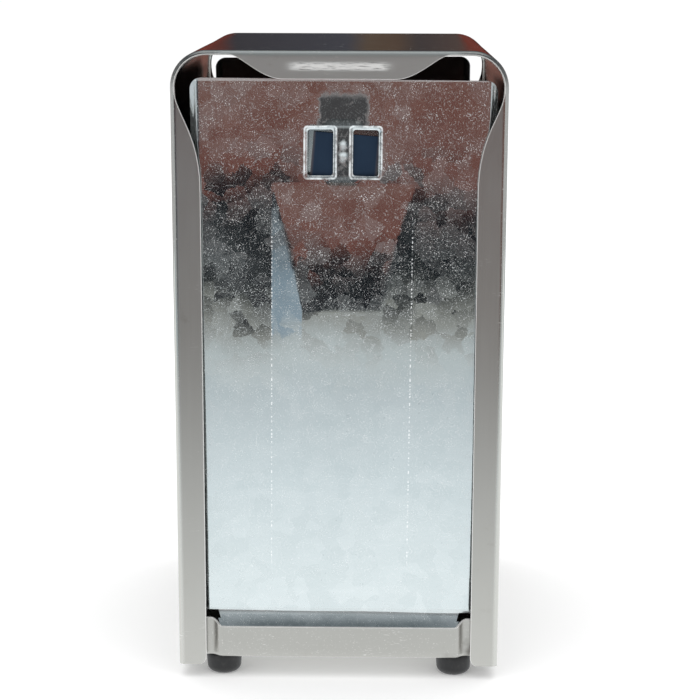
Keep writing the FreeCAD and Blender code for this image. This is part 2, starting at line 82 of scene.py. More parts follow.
def stations(breaks, step):
    """Places from the first break to the last, through every break, no further apart than step."""
    places = [breaks[0]]
    for low, high in zip(breaks, breaks[1:]):
        count = max(1, math.ceil((high - low) / step - 1e-6))
        for index in range(1, count + 1):
            places.append(between(low, high, index / count))
    return places


def quarter(count):
    """Sines and cosines at even steps of a quarter turn."""
    angles = [math.radians(90 * index / count) for index in range(count + 1)]
    return [(math.sin(angle), math.cos(angle)) for angle in angles]


def fade(low, high, value):
    """0 below low, 1 above high, and a smooth rise between them."""
    share = min(1.0, max(0.0, (value - low) / (high - low)))
    return share * share * (3 - 2 * share)


def sweep(start, start_pull, end_pull, end, count):
    """Points along an S-curve; each pull is how far the curve goes straight on from that end."""
    points = []
    for index in range(count + 1):
        share = index / count
        rest = 1 - share
        weights = (rest ** 3, 3 * rest * rest * share, 3 * rest * share * share, share ** 3)
        corners = (start, (start[0] + start_pull, start[1]), (end[0] - end_pull, end[1]), end)
        points.append(tuple(sum(w * c[axis] for w, c in zip(weights, corners)) for axis in (0, 1)))
    return points


def sheet_grid(columns, rows, place):
    """Grid of faces whose vertex at (column, row) goes where place says. grain is its flat pattern,
    with the distance from the sheet's cut edge where a third number is given."""
    mesh = bmesh.new()
    bmesh.ops.create_grid(mesh, x_segments=columns - 1, y_segments=rows - 1, size=1.0)
    grain = mesh.verts.layers.float_vector.new("grain")
    for vertex in mesh.verts:
        column = round((vertex.co.x + 1) / 2 * (columns - 1))
        row = round((vertex.co.y + 1) / 2 * (rows - 1))
        spot, flat = place(column, row)
        vertex.co = spot
        vertex[grain] = (*flat, 0.0)[:3]
    return mesh


def put(name, data):
    """New object at the origin."""
    thing = bpy.data.objects.new(name, data)
    bpy.context.scene.collection.objects.link(thing)
    return thing


def mesh_data(name, mesh, material):
    data = bpy.data.meshes.new(name)
    mesh.to_mesh(data)
    mesh.free()
    data.materials.append(material)
    return data


def make_piece(name, mesh, material):
    """Piece from a finished bmesh, smooth, in one material."""
    data = mesh_data(name, mesh, material)
    data.shade_smooth()
    piece = put(name, data)
    return piece


def thicken(piece, thickness, side, edge):
    """Give a sheet its gauge, towards its normals (side 1) or away (-1), and break its cut edges."""
    gauge = piece.modifiers.new("gauge", "SOLIDIFY")
    gauge.thickness = thickness
    gauge.offset = side
    gauge.use_even_offset = True
    gauge.use_quality_normals = True
    ease_edges(piece, edge)


def ease_edges(piece, edge):
    broken = piece.modifiers.new("broken_edges", "BEVEL")
    broken.width = edge
    broken.segments = 2
    broken.limit_method = "ANGLE"
    broken.angle_limit = math.radians(40)
    broken.harden_normals = True


class Wire:
    """A shader socket that sums can be written with."""

    def __init__(self, socket):
        self.socket = socket

    def math(self, operation, *others):
        tree = self.socket.id_data
        node = tree.nodes.new("ShaderNodeMath")
        node.operation = operation
        for value, socket in zip((self,) + others, node.inputs):
            join(value, socket)
        return Wire(node.outputs[0])

    def __add__(self, other):
        return self.math("ADD", other)

    def __sub__(self, other):
        return self.math("SUBTRACT", other)

    def __rsub__(self, other):
        return self.math("MULTIPLY_ADD", -1.0, other)

    def __mul__(self, other):
        return self.math("MULTIPLY", other)

    def __truediv__(self, other):
        return self.math("DIVIDE", other)

    def __pow__(self, other):
        return self.math("POWER", other)

    def __abs__(self):
        return self.math("ABSOLUTE")

    def most(self, other):
        return self.math("MAXIMUM", other)

    def least(self, other):
        return self.math("MINIMUM", other)

    __radd__ = __add__
    __rmul__ = __mul__


def join(value, socket):
    """Link a wire to a socket, or set the socket to a plain value; a colour is given as three numbers."""
    if isinstance(value, Wire):
        socket.id_data.links.new(value.socket, socket)
    else:
        socket.default_value = (*value, 1.0) if socket.type == "RGBA" else value


class Finish:
    """A material under construction."""

    def __init__(self, name):
        self.material = bpy.data.materials.new(name)
        self.material.use_nodes = True
        self.tree = self.material.node_tree
        self.shader = self.tree.nodes["Principled BSDF"]

    def node(self, kind, settings, values, output=0):
        """Any node: its settings first, then its sockets; gives the named output."""
        node = self.tree.nodes.new(kind)
        for key, value in settings.items():
            if key == "stops":
                ramp = node.color_ramp
                while len(ramp.elements) < len(value):
                    ramp.elements.new(0.5)
                for element, (position, color) in zip(ramp.elements, value):
                    element.position = position
                    element.color = color
            else:
                setattr(node, key, value)
        for key, value in values.items():
            join(value, node.inputs[key])
        return Wire(node.outputs[output])

    def place(self):
        return self.node("ShaderNodeTexCoord", {}, {}, "Object")

    def grain(self):
        return self.node("ShaderNodeAttribute", {"attribute_name": "grain"}, {}, "Vector")

    def pair(self, first, second):
        return self.node("ShaderNodeCombineXYZ", {}, {"X": first, "Y": second})

    def vector(self, operation, values, output=0):
        return self.node("ShaderNodeVectorMath", {"operation": operation}, dict(enumerate(values)), output)

    def axes(self, vector):
        """The three parts of a vector."""
        parts = self.node("ShaderNodeSeparateXYZ", {}, {"Vector": vector}).socket.node
        return [Wire(output) for output in parts.outputs]

    def stretched(self, vector, scale, turn=(0.0, 0.0, 0.0)):
        return self.node("ShaderNodeMapping", {}, {"Vector": vector, "Scale": scale, "Rotation": turn})

    def noise(self, vector, scale, detail=2.0, roughness=0.5, output="Fac"):
        return self.node("ShaderNodeTexNoise", {}, {"Vector": vector, "Scale": scale, "Detail": detail,
                                                    "Roughness": roughness}, output)

    def cells(self, vector, scale, settings, output):
        return self.node("ShaderNodeTexVoronoi", settings, {"Vector": vector, "Scale": scale}, output)

    def rise(self, value, low, high):
        """0 below low, 1 above high, smooth between."""
        return self.node("ShaderNodeMapRange", {"interpolation_type": "SMOOTHSTEP"},
                         {"Value": value, "From Min": low, "From Max": high})

    def fall(self, value, low, high):
        """1 below low, 0 above high, smooth between."""
        return 1 - self.rise(value, low, high)

    def tint(self, share, first, second):
        """Colour that goes from first to second."""
        return self.node("ShaderNodeMix", {"data_type": "RGBA"}, {0: share, 6: first, 7: second}, 2)

    def relief(self, height, distance, strength, normal=None):
        values = {"Height": height, "Distance": distance, "Strength": strength}
        if normal:
            values["Normal"] = normal
        return self.node("ShaderNodeBump", {}, values)

    def wear(self, **sockets):
        """Set or link the shader's own sockets; an underscore stands for a space."""
        for key, value in sockets.items():
            join(value, self.shader.inputs[key.replace("_", " ")])


def from_front(x, y):
    """Distance to the right of the middle, for someone who faces that side of the dispenser."""
    return x * y.math("SIGN") * -1.0


def brushed_stainless(name, polished, brushed, dulled):
    """Stainless steel: mirror-bright walls, brushed flanges, smudges, pits, and a rubbed tongue."""
    dark_line, pale_line = (0.50, 0.49, 0.46), (0.68, 0.675, 0.645)
    flange_top_painted_light, flange_foot, tongue_face = (0.76, 0.79, 0.77), (0.545, 0.535, 0.505), (0.65, 0.68, 0.665)
    pan_grey, lip_end_shade_brown, stain_brown = (0.26, 0.255, 0.24), (0.16, 0.15, 0.14), (0.36, 0.33, 0.29)
    scuffed = (0.90, 0.89, 0.87)
    tongue_end = (34 * mm, 40 * mm)
    coat = Finish(name)
    grain = coat.grain()
    spot = coat.place()
    x, y, z = coat.axes(spot)
    lines = coat.noise(coat.stretched(grain, (60.0, 4200.0, 1.0)), 1.0, 3.0)
    fine_lines = coat.noise(coat.stretched(grain, (260.0, 14000.0, 1.0)), 1.0, 1.0)
    bands = coat.noise(coat.stretched(grain, (9.0, 420.0, 1.0)), 1.0, 2.0)
    smudge = coat.noise(spot, 55.0, 4.0, 0.6)
    stain = coat.rise(coat.noise(spot, 140.0, 5.0, 0.65), 0.60, 0.78)
    scuff_patch = coat.rise(coat.noise(spot, 90.0, 2.0), 0.58, 0.70)
    scuff_lines = coat.noise(coat.stretched(spot, (500.0, 500.0, 2600.0), (0.3, 0.7, 0.2)), 1.0)
    scuffs = scuff_patch * coat.rise(scuff_lines, 0.60, 0.72)
    pits = coat.rise(coat.noise(spot, 1500.0, 1.0), 0.74, 0.80)
    _, across, from_edge = coat.axes(grain)
    on_top = coat.fall(abs(x), *tongue_end)
    over_fold = on_top * 1.2 * mm
    flange = coat.rise(abs(across) + over_fold, half_depth + 0.2 * mm, half_depth + 1.4 * mm)
    cut = coat.fall(from_edge, 0.10 * mm, 0.28 * mm)
    streaks = coat.noise(coat.stretched(spot, (240.0, 1.0, 3000.0)), 1.0, 4.0, 0.7)
    under = coat.rise(z, shell_top - 6.6 * mm, shell_top - 5.2 * mm)
    over = coat.fall(z, shell_top - 4.2 * mm, shell_top - 2.6 * mm)
    beside = coat.fall(abs(x), 12.0 * mm, 18.0 * mm)
    rubbed = under * over * beside * coat.rise(streaks, 0.36, 0.50) * flange
    tongue = coat.rise(z, shell_top - 9.0 * mm, shell_top - 8.0 * mm) * on_top * flange
    # Painted reflection: up the flanges the colour turns paler near the top and a darker, warmer grey low down;
    # the pan takes that low tone all over.
    lower = coat.fall(z, 20 * mm, 160 * mm) * flange
    upper = coat.rise(z, 110 * mm, 170 * mm) * flange
    roughness = between(polished, brushed, flange)
    roughness = roughness + (lines - 0.5) * 0.08 + (smudge - 0.5) * 0.06 + scuffs * 0.22 + pits * 0.2
    roughness = (roughness + rubbed * 0.25).most(0.04)
    shade = lines * 0.30 + fine_lines * 0.15 + bands * 0.55
    metal = coat.tint(shade, dark_line, pale_line)
    metal = coat.tint(upper * 0.8, metal, flange_top_painted_light)
    metal = coat.tint((lower * 0.9).most(dulled), metal, flange_foot)
    metal = coat.tint(dulled * 0.35, metal, pan_grey)
    metal = coat.tint(tongue, metal, tongue_face)
    # Painted shade: the pan's lip is darkened brown in patches at its right-hand end, where it curves back
    # behind the flange.
    lip_end_shade = coat.rise(from_front(x, y), 32 * mm, 38 * mm) * coat.rise(smudge, 0.46, 0.62) * dulled
    metal = coat.tint(lip_end_shade, metal, lip_end_shade_brown)
    dust = coat.rise(coat.noise(spot, 2100.0, 2.0), 0.63, 0.72) * (1 - flange) * 0.35
    metal = coat.tint(stain * 0.35, metal, stain_brown)
    metal = coat.tint((scuffs * 0.6).most(rubbed * 0.85).most(dust).most(cut * 0.8), metal, scuffed)
    height = lines * 0.6 + fine_lines * 0.4 + scuffs * 0.5 - pits * 0.8
    bare = 1 - (rubbed * 0.45).most(tongue * 0.16).most(dust).most(cut * 0.5)
    coat.wear(Base_Color=metal, Metallic=bare, Roughness=roughness,
              Normal=coat.relief(height, 0.02 * mm, 0.12))
    return coat


def wrap_stations():
    """Places round the shell's wrap: where the wall is, which way is inwards, and the fold's width."""
    knee = shell_top - corner_radius
    shoulder = half_width - corner_radius
    sweep_foot = knee - side_sweep
    sweep_outer = shoulder - corner_to_sweep
    sweep_inner = sweep_outer - top_sweep
    left = [(shell_foot + flange_end_radius * (1 - cosine), side_flange - flange_end_radius * (1 - sine))
            for sine, cosine in quarter(6)]
    left += [(height, side_flange)
             for height in stations([shell_foot + flange_end_radius, sweep_foot], 5 * mm)[1:]]
    left += sweep((sweep_foot, side_flange), *side_sweep_pulls, (knee, rim_width), 28)[1:]
    half = [(Vector((-half_width, 0, height)), Vector((1, 0, 0)), width) for height, width in left]
    for sine, cosine in quarter(14)[1:]:
        out = Vector((-cosine, 0, sine))
        half.append((Vector((-shoulder, 0, knee)) + out * corner_radius, -out, rim_width))
    tongue = [(place, rim_width) for place in stations([-shoulder, -sweep_outer], 2 * mm)[1:]]
    tongue += sweep((-sweep_outer, rim_width), *top_sweep_pulls, (-sweep_inner, top_flange), 20)[1:]
    tongue += [(place, top_flange) for place in stations([-sweep_inner, 0.0], 3 * mm)[1:]]
    half += [(Vector((place, 0, shell_top)), Vector((0, 0, -1)), width) for place, width in tongue]
    mirror = [(Vector((-at.x, 0, at.z)), Vector((-inward.x, 0, inward.z)), width)
              for at, inward, width in reversed(half[:-1])]
    return half + mirror


def fold_points(width):
    """From the wall to a fold's free edge: distance inwards, distance behind the face, and run."""
    quarter = fold_radius * math.pi / 2
    if width < fold_radius:
        length = fold_radius * math.acos(1 - width / fold_radius)
    else:
        length = quarter + width - fold_radius
    points = []
    for index in range(fold_steps + 1):
        run = length * (index / fold_steps) ** 1.6
        angle = min(run, quarter) / fold_radius
        inward = fold_radius * (1 - math.cos(angle)) + max(0.0, run - quarter)
        points.append((inward, fold_radius * (1 - math.sin(angle)), run))
    return points


fold_steps = 12
wrap = wrap_stations()
runs = [0.0]
for (before, _, _), (after, _, _) in zip(wrap, wrap[1:]):
    runs.append(runs[-1] + (after - before).length)
wall_places = stations([-half_depth + fold_radius, half_depth - fold_radius], 7 * mm)
wrap_rows = 2 * fold_steps + len(wall_places)


def shell_point(column, row):
    at, inward, width = wrap[column]
    share = runs[column] / runs[-1]
    if row < fold_steps:
        deep, back, run = fold_points(width)[fold_steps - row]
        y = back - half_depth
        across = wall_places[0] - run
    elif row >= fold_steps + len(wall_places):
        deep, back, run = fold_points(width)[row - fold_steps - len(wall_places) + 1]
        y = half_depth - back
        across = wall_places[-1] + run
    else:
        y = wall_places[row - fold_steps]
        across = y
        above_pan = fade(0.08, 0.2, min(share, 1 - share))
        swell = math.cos(math.pi * y / (2 * half_depth)) ** 2 * above_pan
        deep = wall_dip * swell * (0.55 + 0.45 * math.sin(9.5 * math.pi * share + 40 * y))
    from_cut = fold_points(width)[-1][2] + abs(wall_places[0]) - abs(across)
    return at + inward * deep + Vector((0, y, 0)), (runs[column], across, max(0.0, from_cut))


shell_steel = brushed_stainless("brushed_stainless", polished=0.09, brushed=0.36, dulled=0.0)
shell = make_piece("shell_sheet", sheet_grid(len(wrap), wrap_rows, shell_point), shell_steel.material)
thicken(shell, shell_sheet, -1, cut_edge)
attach(shell, "housing")
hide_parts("shell")

# ----------------------------------------
# Base pan. A shallow tray drawn from the same stainless sheet, spot-welded between the shell's
# sides. Its front and rear lips stand forward, flush with the shell's flanges, and curl back at
# each end into a slightly taller ear behind the flange.

pan_low, pan_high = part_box("base_pan")
pan_bend = 1.6 * mm
lip_height = 10.5 * mm
ear_setback = 1.9 * mm
ear_x = half_width - side_flange - 1.2 * mm
lip_x = ear_x - 4.2 * mm
ear_rise_x = ear_x - 3.8 * mm
pan_corner = 7.0 * mm


def pan_quarter(inset):
    """Right rear quarter of the tray's outline, from the middle of the lip to the middle of the side."""
    side = pan_high.x - inset
    lip_y = pan_high.y - inset
    ear_y = lip_y - ear_setback
    radius = pan_corner - inset
    points = [(place, lip_y) for place in stations([0.0, lip_x], 4 * mm)]
    points += sweep((lip_x, lip_y), 2.1 * mm, 2.1 * mm, (ear_x, ear_y), 12)[1:]
    points += [(place, ear_y) for place in stations([ear_x, pan_high.x - pan_corner], 1.5 * mm)[1:]]
    points += [(side - radius * (1 - sine), ear_y - radius * (1 - cosine)) for sine, cosine in quarter(8)[1:]]
    points += [(side, -place) for place in stations([radius - ear_y, 0.0], 6 * mm)[1:]]
    return points


def pan_outline(inset):
    rear_right = pan_quarter(inset)
    front_right = [(x, -y) for x, y in reversed(rear_right[:-1])]
    front_left = [(-x, y) for x, y in reversed(front_right[:-1])]
    rear_left = [(-x, y) for x, y in reversed(rear_right[1:-1])]
    return rear_right + front_right + front_left + rear_left


def pan_edge(x, y):
    """Height of the tray's upper edge."""
    on_lip = abs(y) > pan_high.y - ear_setback - 0.01 * mm
    rise = fade(ear_rise_x, ear_x, abs(x)) if on_lip else 1.0
    return between(pan_low.z + lip_height, pan_high.z, rise)


wall_rings = [0.0, 0.03, 0.2, 0.5, 0.8, 1.0]
bend_steps = 6
pan_rings = len(wall_rings) + bend_steps
outlines = []
for ring in range(pan_rings):
    turn = math.radians(90 * max(0, ring - len(wall_rings) + 1) / bend_steps)
    outlines.append(pan_outline(pan_bend * (1 - math.cos(turn))))
pan_round = len(outlines[0])


def pan_point(column, row):
    x, y = outlines[row][column % pan_round]
    outer_x, outer_y = outlines[0][column % pan_round]
    bend_top = pan_low.z + pan_bend
    if row < len(wall_rings):
        z = between(pan_edge(outer_x, outer_y), bend_top, wall_rings[row])
    else:
        turn = math.radians(90 * (row - len(wall_rings) + 1) / bend_steps)
        z = bend_top - pan_bend * math.sin(turn)
    along = x if abs(y) > pan_high.y - pan_corner else y
    return Vector((x, y, z)), (along, z, pan_edge(outer_x, outer_y) - z)


pan_mesh = sheet_grid(pan_round + 1, pan_rings, pan_point)
bmesh.ops.remove_doubles(pan_mesh, verts=pan_mesh.verts, dist=0.01 * mm)
floor_edges = [edge for edge in pan_mesh.edges
               if edge.is_boundary and max(v.co.z for v in edge.verts) < pan_low.z + 0.1 * mm]
bmesh.ops.contextual_create(pan_mesh, geom=floor_edges)
bmesh.ops.recalc_face_normals(pan_mesh, faces=pan_mesh.faces)
pan_steel = brushed_stainless("pan_stainless", polished=0.30, brushed=0.36, dulled=0.85)
pan = make_piece("base_pan_tray", pan_mesh, pan_steel.material)
thicken(pan, shell_sheet, -1, cut_edge)
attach(pan, "housing")
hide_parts("base_pan")

# ----------------------------------------
# Follower plates. Hot-dip galvanised sheet, pressed with a raised stiffening panel, pierced with
# two windows whose bridge is pushed back and spot-welded to the saddle, turned back along both
# side edges and bent forward at the foot. Napkins lie against them, which burnishes the zinc.

plate_sheet = 0.8 * mm
plate_bend = shell_foot + 16.3 * mm
plate_height = shell_top - 8.5 * mm - plate_bend
plate_foot_setback = 5.4 * mm
plate_top_setback = 1.4 * mm
plate_lean = math.atan2(plate_foot_setback - plate_top_setback, plate_height)
plate_half_top = half_width - side_flange + 4.4 * mm
plate_half_foot = half_width - side_flange + 2.4 * mm
plate_skew = math.radians(0.45)
plate_corner = 3.6 * mm
edge_band = 2.8 * mm
edge_angle = math.radians(26)
foot_angle = math.radians(45)
foot_bend = 0.8 * mm
foot_half = plate_half_foot - 5.9 * mm
foot_end_cut = 1.9 * mm
foot_reach = plate_foot_setback - shell_sheet - 0.3 * mm
foot_run = (foot_reach - foot_bend * (1 - math.cos(foot_angle))) / math.sin(foot_angle)
panel_height = 1.0 * mm
panel_half = 21.6 * mm
panel_floor_half = 12.0 * mm
panel_start = 0.8 * mm
panel_floor_start = 7.5 * mm
panel_top = plate_height - 32.0 * mm
panel_floor_top = plate_height - 70.5 * mm
bridge_half = 3.0 * mm
window_far = bridge_half + 7.8 * mm
window_corner = 0.9 * mm
window_high = plate_height - 15.1 * mm
window_low = window_high - 14.0 * mm
window_middle = (window_low + window_high) / 2
window_half_height = (window_high - window_low) / 2
window_x = (bridge_half + window_far) / 2
window_half_width = (window_far - bridge_half) / 2
window_rim = 1.1 * mm           # how far round each window the sheet is drawn back by the punch
rim_dip = 0.26 * mm
bridge_press = 0.5 * mm
bridge_ease = 3.5 * mm          # how far beside the bridge the sheet is drawn back with it
bridge_end_ease = 2.6 * mm
weld_dip = 0.30 * mm
weld_spread = 0.95 * mm
sheet_ripple = 0.05 * mm
welds = ((0.1 * mm, window_middle + 2.1 * mm), (0.0 * mm, window_middle - 1.3 * mm))
plain_half = 22.0 * mm          # columns inside this stand upright, and those outside follow the taper


def stand_plate(point):
    """From the plate's own upright drawing to where it leans in the shell."""
    turned = Matrix.Rotation(plate_lean, 3, "X") @ Matrix.Rotation(plate_skew, 3, "Y") @ point
    return turned + Vector((0, plate_foot_setback - half_depth, plate_bend))


def window_gap(x, z):
    """Distance from a point of the plate to the nearer window's outline, negative inside it."""
    beyond_x = abs(abs(x) - window_x) - window_half_width + window_corner
    beyond_z = abs(z - window_middle) - window_half_height + window_corner
    outside = math.hypot(max(beyond_x, 0), max(beyond_z, 0))
    return outside + min(max(beyond_x, beyond_z), 0) - window_corner


def panel_rise(x, z):
    """Share of the panel's height: 0 outside its outer crease, 1 on its flat, four slopes between."""
    side = (panel_half - abs(x)) / (panel_half - panel_floor_half)
    foot = (z - panel_start) / (panel_floor_start - panel_start)
    top = max(0.0, (panel_top - z) / (panel_top - panel_floor_top)) ** 0.85
    return min(1.0, max(0.0, min(side, foot, top)))


def plate_depth(x, z, edge):
    """How far the plate's face stands behind its flat at a point; edge is where it turns back."""
    depth = -panel_height * panel_rise(x, z)
    depth += math.tan(edge_angle) * max(0.0, abs(x) - edge) * fade(0, 1.2 * mm, abs(x) - edge)
    press = 1 - fade(bridge_half, bridge_half + bridge_ease, abs(x))
    press *= 1 - fade(0, bridge_end_ease, max(window_low - z, z - window_high))
    depth += bridge_press * press
    for weld_x, weld_z in welds:
        far = math.hypot(x - weld_x, z - weld_z)
        depth += weld_dip * math.exp(-((far / weld_spread) ** 2))
    gap = max(0.0, window_gap(x, z))
    if gap < window_rim:
        depth += rim_dip * (1 - gap / window_rim) ** 2
    ripple = math.sin(95 * x + 1.1) * math.sin(31 * z + 0.4) + 0.6 * math.sin(150 * x - 64 * z)
    return depth + sheet_ripple * ripple


beside_windows = window_far + window_rim
upright = stations([0.0, bridge_half, bridge_half + window_corner, window_far - window_corner, window_far,
                    beside_windows], 0.32 * mm)
upright += stations([beside_windows, panel_half, plain_half], 0.7 * mm)[1:]
foot_edge = plate_half_foot - edge_band * math.cos(edge_angle)
taper_shares = stations([0.0, (foot_half - plain_half) / (foot_edge - plain_half), 1.0], 0.05)[1:]
band_shares = stations([0.0, 1.0], 0.14)[1:]
half_columns = [("upright", x) for x in upright]
half_columns += [("taper", share) for share in taper_shares]
half_columns += [("band", share) for share in band_shares]
column_sides = [(-1, column) for column in reversed(half_columns[1:])]
column_sides += [(1, column) for column in half_columns]
heights = stations([0.0, panel_start, panel_floor_start, panel_floor_top, panel_top,
                    window_low - window_rim], 1.0 * mm)
heights += stations([window_low - window_rim, window_low, window_low + window_corner,
                     window_high - window_corner, window_high, window_high + window_rim], 0.34 * mm)[1:]
heights += stations([window_high + window_rim, plate_height - plate_corner], 0.9 * mm)[1:]
heights += [plate_height - plate_corner * (1 - sine) for sine, _ in quarter(12)[1:]]
bend_length = foot_bend * foot_angle
foot_places = stations([-(bend_length + foot_run), -bend_length, 0.0], 0.6 * mm)[:-1]
plate_rows = [("foot", place) for place in foot_places] + [("plate", z) for z in heights]


def plate_x(column, z):
    """Distance from the middle of a column at a height, and where the edge turns back there."""
    kind, place = column
    share = max(0.0, z) / plate_height
    half = between(plate_half_foot, plate_half_top, share)
    edge = half - edge_band * math.cos(edge_angle)
    if kind == "upright":
        return place, edge
    x = between(plain_half, edge, place) if kind == "taper" else between(edge, half, place)
    above = z - (plate_height - plate_corner)
    if above > 0:
        cut = plate_corner - math.sqrt(max(0.0, plate_corner ** 2 - above ** 2))
        x = plain_half + (x - plain_half) * (half - cut - plain_half) / (half - plain_half)
    return x, edge


def plate_point(column, row):
    side, along = column_sides[column]
    kind, place = plate_rows[row]
    if kind == "plate":
        x, edge = plate_x(along, place)
        spot = Vector((side * x, plate_depth(side * x, place, edge), place))
    else:
        x, edge = plate_x(along, 0.0)
        run = -place
        turn = min(run, bend_length) / foot_bend
        straight = max(0.0, run - bend_length)
        x -= x / foot_half * foot_end_cut * run / (bend_length + foot_run)
        spot = Vector((side * x, -foot_bend * (1 - math.cos(turn)) - straight * math.sin(foot_angle),
                       -foot_bend * math.sin(turn) - straight * math.cos(foot_angle)))
    return stand_plate(spot), (side * x, place)


def plate_mesh():
    mesh = sheet_grid(len(column_sides), len(plate_rows), plate_point)
    grain = mesh.verts.layers.float_vector["grain"]
    spare = []
    for face in mesh.faces:
        x = sum(abs(v[grain][0]) for v in face.verts) / 4
        z = sum(v[grain][1] for v in face.verts) / 4
        beside_foot = z < 0 and max(abs(v[grain][0]) for v in face.verts) > foot_half + 0.01 * mm
        if window_gap(x, z) < 0 or beside_foot:
            spare.append(face)
    bmesh.ops.delete(mesh, geom=spare, context="FACES")
    for vertex in mesh.verts:
        x, z, _ = vertex[grain]
        if vertex.is_boundary and abs(window_gap(x, z)) < window_corner / 2:
            round_corner(vertex, x, z)
    return mesh


def round_corner(vertex, x, z):
    """Bring a vertex beside a window's corner onto the corner's arc."""
    from_x = x - math.copysign(window_x, x)
    from_z = z - window_middle
    out_x = abs(from_x) - window_half_width + window_corner
    out_z = abs(from_z) - window_half_height + window_corner
    if out_x > 0 and out_z > 0:
        stretch = window_corner / math.hypot(out_x, out_z) - 1
        vertex.co.x += math.copysign(out_x, from_x) * stretch
        vertex.co.z += math.copysign(out_z, from_z) * stretch


def nicks(coat, flat, scale, half_thick, reach, share):
    """Short straight scratches, one at most in each cell, every one in its own direction."""
    cell = {"voronoi_dimensions": "2D", "feature": "F1"}
    chance, turn, _ = coat.axes(coat.cells(flat, scale, cell, "Color"))
    middle = coat.cells(flat, scale, cell, "Position")
    offset = coat.vector("SUBTRACT", (flat, middle))
    along_x, along_z, _ = coat.axes(offset)
    length = coat.vector("LENGTH", (offset,), "Value")
    angle = turn * math.pi
    across = abs(along_x * angle.math("COSINE") + along_z * angle.math("SINE"))
    thin = coat.fall(across, half_thick * 0.5, half_thick)
    return thin * coat.fall(length, reach * 0.6, reach) * chance.math("LESS_THAN", share)


